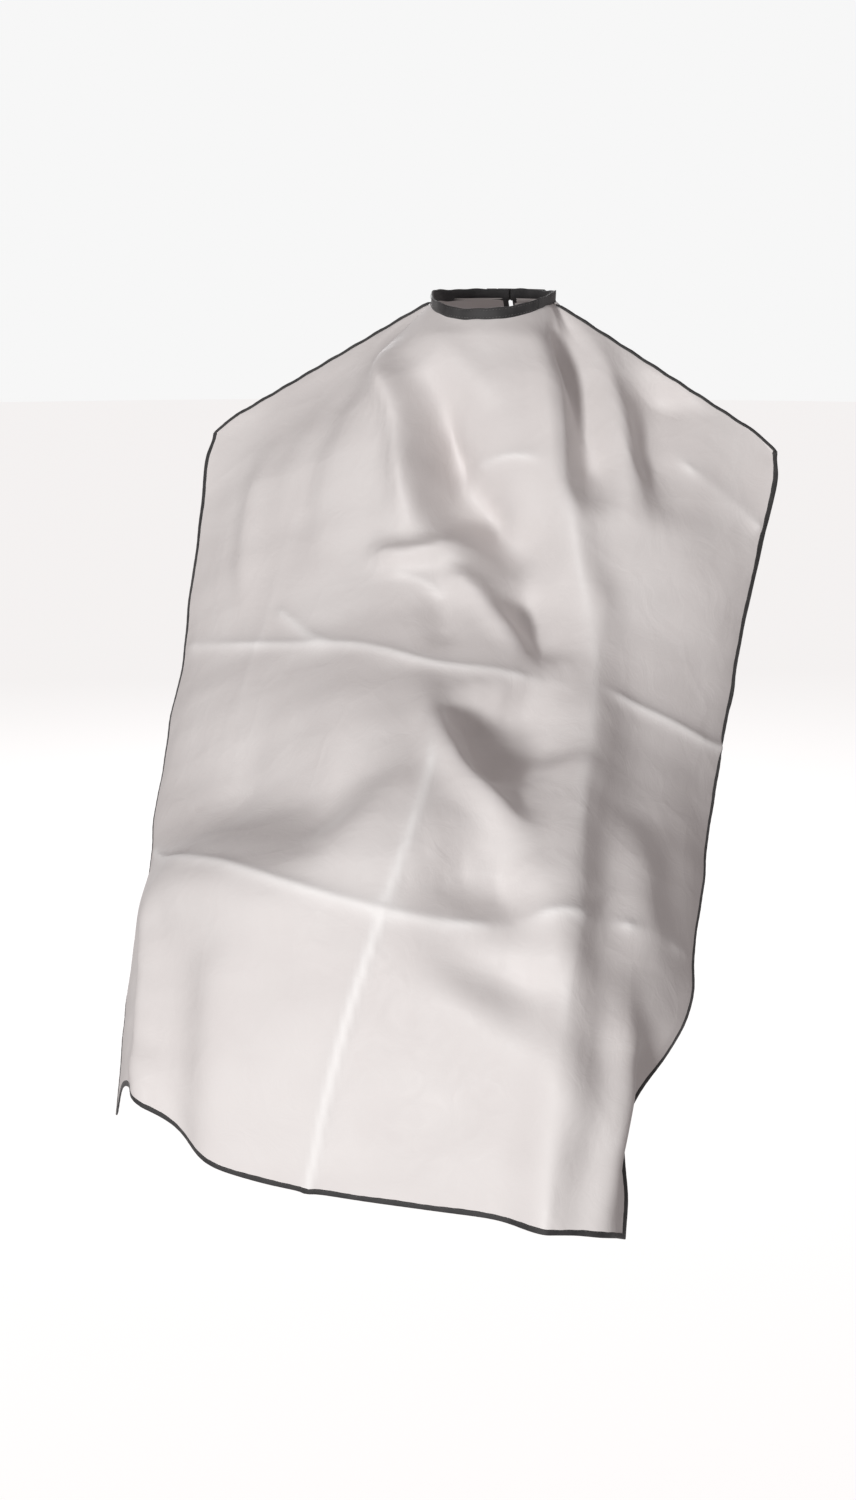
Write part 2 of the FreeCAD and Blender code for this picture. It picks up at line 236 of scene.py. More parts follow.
def back_base(side):
    """Starting drape of one back panel; its shoulder columns meet those of the front panel."""
    net = half_net(True, side)
    drape = surface(net, dense, dense)
    top = side * front_base[0, ::side, 0]
    shoulder = top[top > SEAM_START]
    top_back = drape[0, :, 0]
    start = np.interp(shoulder[0], top_back, dense)
    neck = np.linspace(0, start, BACK_NECK_COLUMNS, endpoint=False)
    across = np.concatenate([neck, np.interp(shoulder, top_back, dense)])
    across[-1] = 1.0
    down = even(run(drape, 0), BACK_LINES)
    panel = surface(net, down, across)
    panel[0, BACK_NECK_COLUMNS:, 0] = shoulder
    return panel * (side, 1, 1)


# == folds: height and width in metres, then places as the share across (-1 is the wearer's
# right edge) and the share down from the neck.  Below zero, the height is a hollow's depth.
SOFT_FOLDS = [
    # long ridge from the neck down the wearer's left side, and the folds beside it
    (0.014, 0.022, [(0.5, 0), (0.35, 0.16), (0.4, 0.28), (0.48, 0.34), (0.53, 0.42)]),
    (0.02, 0.03, [(0.5, 0.36), (0.53, 0.45), (0.53, 0.62), (0.54, 0.72), (0.57, 0.8),
                    (0.6, 1)]),
    (-0.036, 0.027, [(0.6, 0), (0.49, 0.09), (0.44, 0.18), (0.45, 0.25)]),
    (0.012, 0.018, [(0.7, 0), (0.6, 0.1), (0.56, 0.17), (0.56, 0.24)]),
    (-0.024, 0.032, [(0.86, 0), (0.78, 0.06), (0.68, 0.13), (0.64, 0.22)]),
    # chest: a ridge down from the wearer's right, the fold it ends in, and the hollows
    (0.026, 0.022, [(-0.52, 0.03), (-0.3, 0.1), (-0.15, 0.18), (-0.1, 0.26), (-0.08, 0.33)]),
    (-0.024, 0.018, [(-0.16, 0.1), (-0.05, 0.2), (0, 0.28), (0.06, 0.315)]),
    (0.006, 0.02, [(-0.4, 0.02), (0.02, 0.11), (0.14, 0.18)]),
    (-0.022, 0.04, [(-0.18, 0.1), (-0.02, 0.18), (0.1, 0.25), (0.22, 0.31)]),
    (0.017, 0.014, [(-0.22, 0.31), (-0.13, 0.335), (-0.03, 0.335), (0.07, 0.32), (0.14, 0.305)]),
    (-0.034, 0.024, [(-0.16, 0.15), (-0.03, 0.22), (0.06, 0.265), (0.16, 0.295), (0.3, 0.32)]),
    (-0.026, 0.03, [(0, 0.27), (0.12, 0.29), (0.24, 0.31), (0.38, 0.33)]),
    (-0.014, 0.045, [(0.22, 0.24), (0.3, 0.32), (0.4, 0.4)]),
    (-0.02, 0.024, [(0.24, 0.34), (0.33, 0.385), (0.42, 0.42)]),
    (0.012, 0.014, [(0.03, 0.35), (0.12, 0.365), (0.23, 0.395), (0.36, 0.43)]),
    (-0.008, 0.016, [(0, 0.36), (0.06, 0.4), (0.1, 0.45)]),
    # lap: the sunken triangle beside the long ridge, and the thighs
    (0.016, 0.018, [(0.05, 0.46), (0.13, 0.53), (0.24, 0.59), (0.36, 0.625), (0.48, 0.63)]),
    (-0.034, 0.03, [(0.18, 0.49), (0.28, 0.53), (0.4, 0.585)]),
    (-0.022, 0.032, [(0.28, 0.475), (0.38, 0.5), (0.45, 0.55)]),
    (-0.024, 0.042, [(0.2, 0.68), (0.34, 0.7), (0.47, 0.675)]),
    (0.012, 0.036, [(-0.96, 0.655), (-0.6, 0.69), (-0.32, 0.72), (-0.11, 0.745), (0.11, 0.76)]),
    (-0.046, 0.074, [(-0.96, 0.52), (-0.6, 0.555), (-0.32, 0.59), (-0.08, 0.63), (0.08, 0.66)]),
    (0.01, 0.03, [(0.67, 0.55), (0.74, 0.66), (0.84, 0.74)]),
    # the hanging front
    (0.014, 0.024, [(0.72, 0.74), (0.79, 0.86), (0.82, 1)]),
    (-0.012, 0.026, [(0.88, 0.78), (0.92, 0.88), (0.93, 1)]),
    (0.012, 0.022, [(-0.62, 0.68), (-0.6, 0.8), (-0.62, 1)]),
    (-0.006, 0.03, [(-0.44, 0.74), (-0.44, 0.86), (-0.46, 1)]),
    (0.006, 0.03, [(-0.26, 0.76), (-0.29, 0.88), (-0.31, 1)]),
    (-0.01, 0.024, [(0.18, 0.765), (0.34, 0.785), (0.5, 0.79), (0.66, 0.8)]),
    (0.008, 0.03, [(0.2, 0.79), (0.4, 0.83), (0.62, 0.87), (0.74, 0.92)]),
    (0.006, 0.02, [(-0.76, 0.1), (-0.66, 0.22), (-0.62, 0.34)]),
    (-0.006, 0.022, [(-0.6, 0.04), (-0.46, 0.2), (-0.42, 0.32)]),
]
BACK_FOLDS = [  # of each back panel, where -1 across is the back opening
    (0.012, 0.022, [(0.1, 0), (0.16, 0.35), (0.2, 0.7), (0.22, 1)]),
    (-0.012, 0.026, [(-0.1, 0), (-0.08, 0.35), (-0.06, 0.7), (-0.04, 1)]),
    (0.01, 0.024, [(-0.4, 0.02), (-0.42, 0.4), (-0.4, 0.75), (-0.4, 1)]),
    (-0.012, 0.03, [(0.44, 0.05), (0.52, 0.4), (0.56, 0.75), (0.58, 1)]),
    (-0.008, 0.022, [(0.75, 0.1), (0.45, 0.22), (0.05, 0.3), (-0.4, 0.34)]),
]
PRESSED_CREASES = [
    (0.0024, 0.007, [(0.5, 0), (0.34, 0.17), (0.4, 0.29), (0.5, 0.4), (0.53, 0.6),
                     (0.57, 0.79), (0.6, 1)]),
    (0.005, 0.006, [(0.13, 0.46), (0.15, 0.6), (0.14, 0.68), (0.1, 0.77), (0.03, 0.88), (-0.04, 1)]),
    (0.0044, 0.006, [(-1, 0.35), (-0.57, 0.38), (-0.22, 0.435), (0.07, 0.465), (0.29, 0.455),
                     (0.5, 0.43)]),
    (0.005, 0.006, [(0.5, 0.43), (0.67, 0.42), (0.86, 0.42), (1, 0.42)]),
    (0.005, 0.006, [(-1, 0.63), (-0.6, 0.675), (-0.32, 0.71), (-0.11, 0.74), (0.11, 0.755),
                     (0.3, 0.75), (0.53, 0.715), (0.72, 0.7), (1, 0.72)]),
    (0.004, 0.005, [(0.05, 0.235), (0.2, 0.22), (0.36, 0.2)]),
    (0.0036, 0.006, [(0.64, 0.09), (0.79, 0.12), (1, 0.15)]),
    (0.0012, 0.006, [(-0.56, 0.1), (-0.55, 0.4), (-0.57, 0.66), (-0.6, 1)]),
    (0.0034, 0.005, [(-0.52, 0.34), (-0.44, 0.37), (-0.36, 0.4), (-0.26, 0.43)]),
    (0.0026, 0.005, [(-0.16, 0.355), (-0.02, 0.37), (0.03, 0.385)]),
]
CREASE_ROUND = 0.0015  # radius at the crest of a pressed crease
FOLD_FADE = 3  # how fast a fold grows from its end: the share of it is 1 over this
CREASE_FADE = 5  # the same for a pressed crease
EDGE_FADE = 20  # the same where either starts at a side edge
RIPPLE_WAVES = 9


def finer(grid, factor, axis):
    """The same grid with factor times as many steps along an axis, smooth through its points."""
    grid = np.moveaxis(grid, axis, 0)
    count = len(grid)
    place = np.arange((count - 1) * factor + 1) / factor
    index = np.minimum(place.astype(int), count - 2)
    part = (place - index).reshape(-1, *[1] * (grid.ndim - 1))
    padded = np.concatenate([2 * grid[:1] - grid[1:2], grid, 2 * grid[-1:] - grid[-2:-1]])
    a, b, c, d = (padded[index + step] for step in range(4))
    bend = 2 * a - 5 * b + 4 * c - d + part * (3 * (b - c) + d - a)
    return np.moveaxis(b + 0.5 * part * (c - a + part * bend), 0, axis)


def unit(ways):
    """The same directions at length 1."""
    return ways / np.maximum(np.linalg.norm(ways, axis=-1, keepdims=True), 1e-12)


def normals(grid):
    """Outward unit normals of a grid: rows run down, columns left to right as seen from outside."""
    return unit(np.cross(np.gradient(grid, axis=0), np.gradient(grid, axis=1)))


def at_share(grid, across, down, place):
    """Point of a grid at a share across and a share down."""
    column = np.interp(place[0], across, np.arange(len(across)))
    row = np.interp(place[1], down, np.arange(len(down)))
    i, j = min(int(row), len(down) - 2), min(int(column), len(across) - 2)
    u, v = row - i, column - j
    upper = grid[i, j] * (1 - v) + grid[i, j + 1] * v
    lower = grid[i + 1, j] * (1 - v) + grid[i + 1, j + 1] * v
    return upper * (1 - u) + lower * u


def nearness(grid, line):
    """Distance from every point of the grid to a line, and the share along it of the nearest place."""
    nearest = np.full(grid.shape[:2], 1e9)
    along = np.zeros(grid.shape[:2])
    for count, (start, end) in enumerate(zip(line, line[1:])):
        way = end - start
        share = np.clip((grid - start) @ way / (way @ way), 0, 1)
        distance = np.linalg.norm(grid - start - share[:, :, None] * way, axis=2)
        closer = distance < nearest
        nearest[closer] = distance[closer]
        along[closer] = (count + share[closer]) / (len(line) - 1)
    return nearest, along


def smooth_step(share):
    """Smooth rise from 0 to 1 as share does the same."""
    share = np.clip(share, 0, 1)
    return share * share * (3 - 2 * share)


def fold_heights(grid, across, down, folds, sharp):
    """How far each point of the cloth stands out for a list of folds."""
    height = np.zeros(grid.shape[:2])
    for rise, width, places in folds:
        points = np.array([at_share(grid, across, down, place) for place in places])
        distance, along = nearness(grid, finer(points, 5, 0))
        fade = np.ones_like(along)
        for place, share in ((places[0], along), (places[-1], 1 - along)):
            if place[1] not in (0, 1):
                inner_fade = CREASE_FADE if sharp else FOLD_FADE
                fade *= smooth_step(share * (EDGE_FADE if abs(place[0]) == 1 else inner_fade))
        if sharp:
            profile = np.exp(-(np.sqrt(distance ** 2 + CREASE_ROUND ** 2) - CREASE_ROUND) / width)
        else:
            profile = np.exp(-(distance / width) ** 2)
        height += rise * fade * profile
    return height


def ripple(grid, seed, size, height):
    """Slow seeded unevenness over the cloth: a sum of plane waves."""
    rng = np.random.default_rng(seed)
    total = np.zeros(grid.shape[:2])
    for _ in range(RIPPLE_WAVES):
        direction = rng.normal(size=3)
        direction /= np.linalg.norm(direction)
        wave = 2 * math.pi / (size * rng.uniform(0.7, 1.6))
        total += np.sin(grid @ direction * wave + rng.uniform(0, 2 * math.pi))
    return total / math.sqrt(RIPPLE_WAVES) * height


# == materials
def new_material(name):
    """Empty node material with its shader and its node tree."""
    material = bpy.data.materials.new(name)
    material.use_nodes = True
    return material, material.node_tree, material.node_tree.nodes["Principled BSDF"]


def add_node(tree, kind, **settings):
    """New node with its settings, or input values where the name is an input's."""
    node = tree.nodes.new(kind)
    for key, value in settings.items():
        if key in node.inputs:
            node.inputs[key].default_value = value
        else:
            setattr(node, key, value)
    return node


def link(output, node, name):
    """Lead an output into a node's input."""
    output.id_data.links.new(output, node.inputs[name])


def texture(place, kind, **settings):
    """New texture node on the piece's own coordinates."""
    node = add_node(place.id_data, f"ShaderNodeTex{kind}", **settings)
    link(place.outputs["Object"], node, "Vector")
    return node


def set_inputs(node, values):
    """Give a node's inputs their values by name."""
    for key, value in values.items():
        node.inputs[key].default_value = value


def two_tone(factor, light, dark):
    """Colour output between two colours."""
    mix = add_node(factor.id_data, "ShaderNodeMix", data_type="RGBA")
    set_inputs(mix, {"A": (*dark, 1), "B": (*light, 1)})
    link(factor, mix, "Factor")
    return mix.outputs["Result"]


def ranged(value, low, high, out_low, out_high):
    """Value moved from one range to another."""
    node = add_node(value.id_data, "ShaderNodeMapRange")
    link(value, node, "Value")
    set_inputs(node, {"From Min": low, "From Max": high, "To Min": out_low, "To Max": out_high})
    return node.outputs["Result"]


WAVE_SCALE = 20  # phase of the wave texture in radians, at a scale of 1 and 1 m along


def weave(coordinates, period):
    """Height of a plain weave of threads along the two directions of the UV map."""
    tree = coordinates.id_data
    join = add_node(tree, "ShaderNodeMath", operation="MULTIPLY")
    for place, direction in enumerate("XY"):
        wave = add_node(tree, "ShaderNodeTexWave", bands_direction=direction, wave_profile="SIN")
        set_inputs(wave, {"Scale": 2 * math.pi / (WAVE_SCALE * period), "Distortion": 0.6,
                          "Detail Scale": 0.5})
        link(coordinates, wave, "Vector")
        link(wave.outputs["Fac"], join, place)
    return join.outputs["Value"]


def bumped(shader, heights):
    """Chain of bumps from (height, strength, distance) rows into the shader's normal."""
    last = None
    for height, strength, distance in heights:
        bump = add_node(shader.id_data, "ShaderNodeBump", Strength=strength, Distance=distance)
        link(height, bump, "Height")
        if last is not None:
            link(last, bump, "Normal")
        last = bump.outputs["Normal"]
    link(last, shader, "Normal")


def cape_cloth():
    """Off-white coated polyester: fine weave, faint crinkles, and a painted highlight along its pressed
    creases.
    """
    material, tree, shader = new_material("cape_cloth")
    place = tree.nodes.new("ShaderNodeTexCoord")
    broad = texture(place, "Noise", Scale=7.0, Detail=3.0, Roughness=0.5)
    crinkle = texture(place, "Noise", Scale=34.0, Detail=4.0, Roughness=0.55, Distortion=1.6)
    lines = texture(place, "Voronoi", feature="DISTANCE_TO_EDGE", Scale=15.0)
    fibre = texture(place, "Noise", Scale=900.0, Detail=2.0)
    mottled = ranged(broad.outputs["Fac"], 0.35, 0.65, 0.0, 1.0)
    colour = two_tone(mottled, (0.790, 0.762, 0.755), (0.740, 0.707, 0.700))
    # Painted highlight: the pressed creases are mixed towards a paler colour, (0.90, 0.885, 0.88), in
    # place of the light they catch.
    crease_and_highlight = add_node(tree, "ShaderNodeAttribute", attribute_name="crease_and_highlight")
    crease_highlight_mix = add_node(tree, "ShaderNodeMix", data_type="RGBA")
    crease_highlight_mix.inputs["B"].default_value = (0.90, 0.885, 0.88, 1)
    link(crease_and_highlight.outputs["Fac"], crease_highlight_mix, "Factor")
    link(colour, crease_highlight_mix, "A")
    link(crease_highlight_mix.outputs["Result"], shader, "Base Color")
    link(ranged(crinkle.outputs["Fac"], 0.3, 0.7, 0.50, 0.64), shader, "Roughness")
    set_inputs(shader, {"Sheen Weight": 0.25, "Sheen Roughness": 0.4, "Specular IOR Level": 0.35})
    thread = weave(place.outputs["UV"], 0.0009)
    bumped(shader, [
        (ranged(lines.outputs["Distance"], 0.0, 0.10, 1.0, 0.0), 0.16, 0.0010),
        (crinkle.outputs["Fac"], 0.35, 0.0016),
        (thread, 0.10, 0.00012),
        (fibre.outputs["Fac"], 0.05, 0.00010),
    ])
    return material


def dark_tape(name, light, dark, period, rough):
    """Black woven tape: ribs, a little dust and rubbed threads, soft sheen."""
    material, tree, shader = new_material(name)
    place = tree.nodes.new("ShaderNodeTexCoord")
    rubbed = texture(place, "Noise", Scale=60.0, Detail=5.0, Roughness=0.6)
    thread = weave(place.outputs["UV"], period)
    worn = ranged(rubbed.outputs["Fac"], 0.4, 0.75, 0.0, 1.0)
    link(two_tone(worn, light, dark), shader, "Base Color")
    roughness = ranged(rubbed.outputs["Fac"], 0.3, 0.7, rough, rough + 0.18)
    link(roughness, shader, "Roughness")
    set_inputs(shader, {"Sheen Weight": 0.3, "Sheen Roughness": 0.5})
    bumped(shader, [(rubbed.outputs["Fac"], 0.25, 0.0004), (thread, 0.35, 0.00025)])
    return material


def pile(name, light, dark, size, rough, sheen):
    """Hook or loop face: a close field of small tufts."""
    material, tree, shader = new_material(name)
    place = tree.nodes.new("ShaderNodeTexCoord")
    tufts = texture(place, "Voronoi", Scale=1 / size)
    height = ranged(tufts.outputs["Distance"], 0.0, 0.7, 1.0, 0.0)
    # Painted shade: the gaps between the tufts are darker and their tops lighter, following the bump's
    # height.
    link(two_tone(height, light, dark), shader, "Base Color")
    set_inputs(shader, {"Roughness": rough, "Sheen Weight": sheen})
    bumped(shader, [(height, 0.7, 0.0005)])
    return material


def satin():
    """Blank label satin: fine ribs and a soft shine."""
    material, tree, shader = new_material("label_satin")
    place = tree.nodes.new("ShaderNodeTexCoord")
    cloudy = texture(place, "Noise", Scale=120.0, Detail=3.0)
    colour = two_tone(cloudy.outputs["Fac"], (0.86, 0.85, 0.83), (0.78, 0.77, 0.75))
    link(colour, shader, "Base Color")
    set_inputs(shader, {"Roughness": 0.35, "Sheen Weight": 0.2})
    bumped(shader, [(weave(place.outputs["UV"], 0.0005), 0.3, 0.0002)])
    return material


CLOTH = cape_cloth()
TAPE = dark_tape("binding_tape", (0.050, 0.049, 0.050), (0.018, 0.018, 0.019), 0.0008, 0.55)
BAND = dark_tape("band_cloth", (0.040, 0.039, 0.040), (0.013, 0.013, 0.014), 0.0007, 0.50)
LINING = dark_tape("band_lining", (0.060, 0.060, 0.062), (0.024, 0.024, 0.026), 0.0011, 0.75)
THREAD = dark_tape("seam_thread", (0.110, 0.108, 0.108), (0.060, 0.058, 0.058), 0.0005, 0.6)
LOOP = pile("loop_pile", (0.070, 0.070, 0.073), (0.016, 0.016, 0.017), 0.0011, 0.85, 0.5)
HOOK = pile("hook_tape", (0.055, 0.055, 0.058), (0.012, 0.012, 0.013), 0.0013, 0.42, 0.0)
SATIN = satin()


# == mesh makers
def in_scene(name, data):
    """New object in the scene for a mesh, light or camera."""
    made = bpy.data.objects.new(name, data)
    scene.collection.objects.link(made)
    return made


def make_piece(name, points, faces, material, uv=None, flat_faces=()):
    """Mesh object from points and faces, smooth shaded, with its material."""
    mesh = bpy.data.meshes.new(name)
    faces = [list(map(int, face)) for face in faces]
    mesh.from_pydata(np.asarray(points).reshape(-1, 3).tolist(), [], faces)
    mesh.shade_smooth()
    for index in flat_faces:
        mesh.polygons[index].use_smooth = False
    if uv is not None:
        layer = mesh.uv_layers.new(name="UVMap")
        corners = np.empty(len(mesh.loops), dtype=np.int64)
        mesh.loops.foreach_get("vertex_index", corners)
        layer.data.foreach_set("uv", np.asarray(uv, dtype=np.float32)[corners].ravel())
    mesh.materials.append(material)
    piece = in_scene(name, mesh)
    return piece


def grid_quads(rows, columns, start=0, wrap=False, flip=False):
    """Faces of a grid of vertices; wrap joins the last column to the first."""
    i, j = np.meshgrid(np.arange(rows - 1), np.arange(columns if wrap else columns - 1), indexing="ij")
    i, j = i.ravel(), j.ravel()
    after = (j + 1) % columns
    upper, lower = i * columns, (i + 1) * columns
    quads = np.stack([upper + j, lower + j, lower + after, upper + after], axis=1)
    return start + (quads[:, ::-1] if flip else quads)


def cloth_sheet(name, grid, thick, material, crease_and_highlight=None):
    """Closed thin sheet: the grid outside, its offset inside, and a rim between them.

    The last argument says how strongly each point of the grid is painted with the highlight of a pressed
    crease.
    """
    rows, columns = grid.shape[:2]
    inner = grid - normals(grid) * thick
    points = np.concatenate([grid.reshape(-1, 3), inner.reshape(-1, 3)])
    count = rows * columns
    outer_faces = grid_quads(rows, columns)
    inner_faces = grid_quads(rows, columns, count, flip=True)
    index = np.arange(count).reshape(rows, columns)
    rim = np.concatenate([index[0, :-1], index[:-1, -1], index[-1, :0:-1], index[:0:-1, 0]])
    after = np.roll(rim, -1)
    rim_faces = np.stack([rim, after, after + count, rim + count], axis=1)
    uv = np.stack(np.meshgrid(running(run(grid, 1)), -running(run(grid, 0))), axis=-1).reshape(-1, 2)
    faces = [*outer_faces, *inner_faces, *rim_faces]
    piece = make_piece(name, points, faces, material, np.concatenate([uv, uv]))
    # Painted highlight along the pressed creases, stored on the points for the cloth material.
    if crease_and_highlight is not None:
        highlight_attribute = piece.data.attributes.new("crease_and_highlight", "FLOAT", "POINT")
        highlight_attribute.data.foreach_set("value", np.tile(crease_and_highlight.ravel(), 2).astype(np.float32))
    return piece


def swept(name, sections, material):
    """Closed tube with flat ends through rings of points, given as rings x points x 3."""
    rings, sides = sections.shape[:2]
    faces = list(grid_quads(rings, sides, wrap=True))
    caps = [len(faces), len(faces) + 1]
    faces += [list(range(sides)), list(range((rings - 1) * sides, rings * sides))[::-1]]
    along = running(steps_of(sections.mean(axis=1)))
    around = running(steps_of(sections[rings // 2]))
    uv = np.stack(np.meshgrid(around, along), axis=-1).reshape(-1, 2)
    return make_piece(name, sections, faces, material, uv, caps)


# == settled and finished cloth
def finished(coarse):
    """Fine grid through a coarse one."""
    return finer(finer(coarse, FINER, 0), FINER, 1)


# Where the edges are tugged out of line: shift, size as shares across and down, and place.
CORNER_TUGS = [
    ((0.0, 0.0, 0.043), (0.30, 0.11), (-0.69, 1.0)),
    ((-0.004, 0.0, -0.036), (0.10, 0.05), (-1.0, 1.0)),
    ((-0.022, 0.0, 0.0), (0.10, 0.055), (1.0, 0.895)),
    ((0.010, 0.0, 0.0), (0.10, 0.05), (1.0, 0.77)),
]
SHOULDER_ROUND = 0.020  # how far a rounded shoulder corner reaches
CORNER_PULL = (0.35, 0.1)  # shares of that by which the corner moves in and down

LOOSE_HOLD = 0.36  # how firmly the middle of the cloth keeps its place while it settles
FRONT_HOLDS = (1.0, 0.8, 0.8, 0.8)
BACK_HOLDS = (1.0, 0.7, 0.75, 0.75)
HOLD_FADE = 0.04  # how far from an edge the edge's own hold reaches, as a share
SETTLE_FRAMES = 30
SETTLE_CAP = 0.030  # a point never moves further than this
SLACK = 0.014  # how much longer the cloth is than the shape it starts from
EVEN_PASSES = 5

SEAM_SPAN = (0.0641, 0.108)  # how far out the top edge is turned sharply into the shoulder seam
SEAM_DEPTH = 0.035  # how far down the cloth follows


def rounded_corners(grid):
    """Pull the two shoulder corners in a little."""
    for side, (corner_x, corner_z) in CORNER.items():
        distance = np.linalg.norm(grid - (side * corner_x, 0.0, corner_z), axis=2)
        pull = np.exp(-(distance / SHOULDER_ROUND) ** 2)[:, :, None]
        inward, downward = (share * SHOULDER_ROUND for share in CORNER_PULL)
        grid = grid + pull * np.array((-side * inward, 0.0, -downward))
    return grid


def join_columns(side):
    """Columns of the front's top row that meet one back panel, from the neck outwards."""
    columns = np.arange(front_base.shape[1])[::side]
    return columns[side * front_base[0, columns, 0] > SEAM_START]


def hold_weights(grid, holds):
    """How firmly each point of a grid keeps its place; holds is for its top, hem, first and last edge."""
    rows, columns = grid.shape[:2]
    level = np.linspace(0, 1, rows)[:, None]
    width = np.linspace(0, 1, columns)[None, :]
    weights = np.full((rows, columns), LOOSE_HOLD)
    for away, firmness in zip((level, 1 - level, width, 1 - width), holds):
        weights = np.maximum(weights, firmness * np.exp(-away / HOLD_FADE))
    return weights


def settled(front_grid, back_grids):
    """The same grids after a short cloth simulation, hanging from the neck and the shoulder seams."""
    index, points, weights, faces, count = {}, [], [], [], 0
    for side, grid in {0: front_grid, **back_grids}.items():
        rows, columns = grid.shape[:2]
        numbers = np.empty((rows, columns), dtype=int)
        own = np.ones((rows, columns), dtype=bool)
        if side:  # the shoulder seam shares the front's points
            own[0, BACK_NECK_COLUMNS:] = False
            numbers[~own] = index[0][0, join_columns(side)]
        numbers[own] = count + np.arange(own.sum())
        count += own.sum()
        index[side] = numbers
        points.append(grid[own])
        weights.append(hold_weights(grid, BACK_HOLDS if side else FRONT_HOLDS)[own])
        faces.append(numbers.ravel()[grid_quads(rows, columns)])
    start = np.concatenate(points)
    mesh = bpy.data.meshes.new("drape")
    mesh.from_pydata(start.tolist(), [], np.concatenate(faces).tolist())
    drape = in_scene("drape", mesh)
    group = drape.vertex_groups.new(name="hold")
    for number, weight in enumerate(np.concatenate(weights)):
        group.add([number], float(weight), "REPLACE")
    cloth = drape.modifiers.new("cloth", "CLOTH")
    cloth.point_cache.frame_end = SETTLE_FRAMES
    settings = cloth.settings
    settings.quality = 5
    settings.mass = 0.02
    settings.tension_stiffness = settings.compression_stiffness = 12.0
    settings.shear_stiffness = 6.0
    settings.bending_stiffness = 5.0
    settings.vertex_group_mass = "hold"
    settings.pin_stiffness = 1.0
    settings.shrink_min = -SLACK
    settings.effector_weights.gravity = 0.6
    cloth.collision_settings.use_self_collision = False
    for frame_number in range(1, SETTLE_FRAMES + 1):
        scene.frame_set(frame_number)
    evaluated = drape.evaluated_get(bpy.context.evaluated_depsgraph_get())
    ended = np.empty(len(mesh.vertices) * 3, dtype=np.float32)
    evaluated.data.vertices.foreach_get("co", ended)
    moved = ended.reshape(-1, 3).astype(float) - start
    bpy.data.objects.remove(drape)
    bpy.data.meshes.remove(mesh)
    scene.frame_set(1)
    moved *= SETTLE_CAP / (SETTLE_CAP + np.linalg.norm(moved, axis=1, keepdims=True))
    return front_grid + evened(moved[index[0]]), {
        side: grid + evened(moved[index[side]]) for side, grid in back_grids.items()}


def evened(field):
    """A field of moves with its finest waves averaged out; the sewn top row stays put."""
    for _ in range(EVEN_PASSES):
        for axis in (0, 1):
            field = np.moveaxis(field, axis, 0)
            padded = np.concatenate([field[:1], field, field[-1:]])
            field = np.moveaxis((padded[:-2] + 2 * padded[1:-1] + padded[2:]) / 4, 0, axis)
        field[0] = 0
    return field


def squared_seam(grid, side):
    """The grid with its top edge turned sharply from the neckline into the shoulder seam on one side."""
    reach = side * grid[0, :, 0]
    index = np.flatnonzero((reach > SEAM_SPAN[0]) & (reach < SEAM_SPAN[1]))
    index = index[np.argsort(reach[index])]
    line = grid[0, index]
    along = share_of(steps_of(line[:, :2]))
    route = np.array([line[0, :2], (side * np.hypot(*line[0, :2]), 0.0), line[-1, :2]])
    marks = share_of(steps_of(route))
    across, deep = (np.interp(along, marks, route[:, axis]) for axis in (0, 1))
    height = np.interp(side * across, side * line[:, 0], line[:, 2])
    moved = np.stack([across, deep, height], axis=1) - line
    depth = running(run(grid, 0))
    grid = grid.copy()
    grid[:, index] += np.exp(-(depth / SEAM_DEPTH) ** 2)[:, None, None] * moved
    return grid


def shares(grid):
    """Shares across, from -1 to 1, of a grid's columns, and shares down of its rows."""
    return 2 * share_of(run(grid, 1)) - 1, share_of(run(grid, 0))


CALM_TOP = 0.05  # share of the drop over which folds grow from nothing at the neck
BACK_CALM_TOP = 0.08  # the same on the back
BACK_RIPPLE_TOP = 0.15  # the same for the back's slow unevenness
BACK_SHIFT = 0.05  # share across by which the left panel's folds move out and the right's in
FULL_HIGHLIGHT_HEIGHT = 0.0045  # a crease this high gets the full painted highlight

across, down = shares(front_base)
soft = fold_heights(front_base, across, down, SOFT_FOLDS, False)
soft *= smooth_step(down / CALM_TOP)[:, None]
front_coarse = front_base + normals(front_base) * soft[:, :, None]
backs_coarse = {}
for side in (1, -1):
    base = back_base(side)
    across, down = shares(base)
    folds = [(height, width, [(place[0] + BACK_SHIFT * side, place[1]) for place in places])
             for height, width, places in BACK_FOLDS]
    soft = fold_heights(base, across, down, folds, False)
    soft *= smooth_step(down / BACK_CALM_TOP)[:, None]
    backs_coarse[side] = base - side * normals(base) * soft[:, :, None]
front_coarse, backs_coarse = settled(front_coarse, backs_coarse)

front_fine = finished(front_coarse)
across, down = shares(front_fine)
sharp = fold_heights(front_fine, across, down, PRESSED_CREASES, True)
uneven = ripple(front_fine, 5, 0.16, 0.0015) + ripple(front_fine, 6, 0.05, 0.0006)
calm = smooth_step(down / CALM_TOP)[:, None]
front_fine += normals(front_fine) * ((sharp + uneven) * calm)[:, :, None]
# Painted highlight along the pressed creases: the higher a crease stands, the paler it is painted.
front_crease_highlight = np.clip(sharp / FULL_HIGHLIGHT_HEIGHT, 0, 1) ** 1.5
for shift, size, (share_across, share_down) in CORNER_TUGS:
    reach = ((across - share_across) / size[0]) ** 2 + ((down[:, None] - share_down) / size[1]) ** 2
    front_fine += np.exp(-reach)[:, :, None] * np.array(shift)
front_fine = rounded_corners(front_fine)
for side in (1, -1):
    front_fine = squared_seam(front_fine, side)

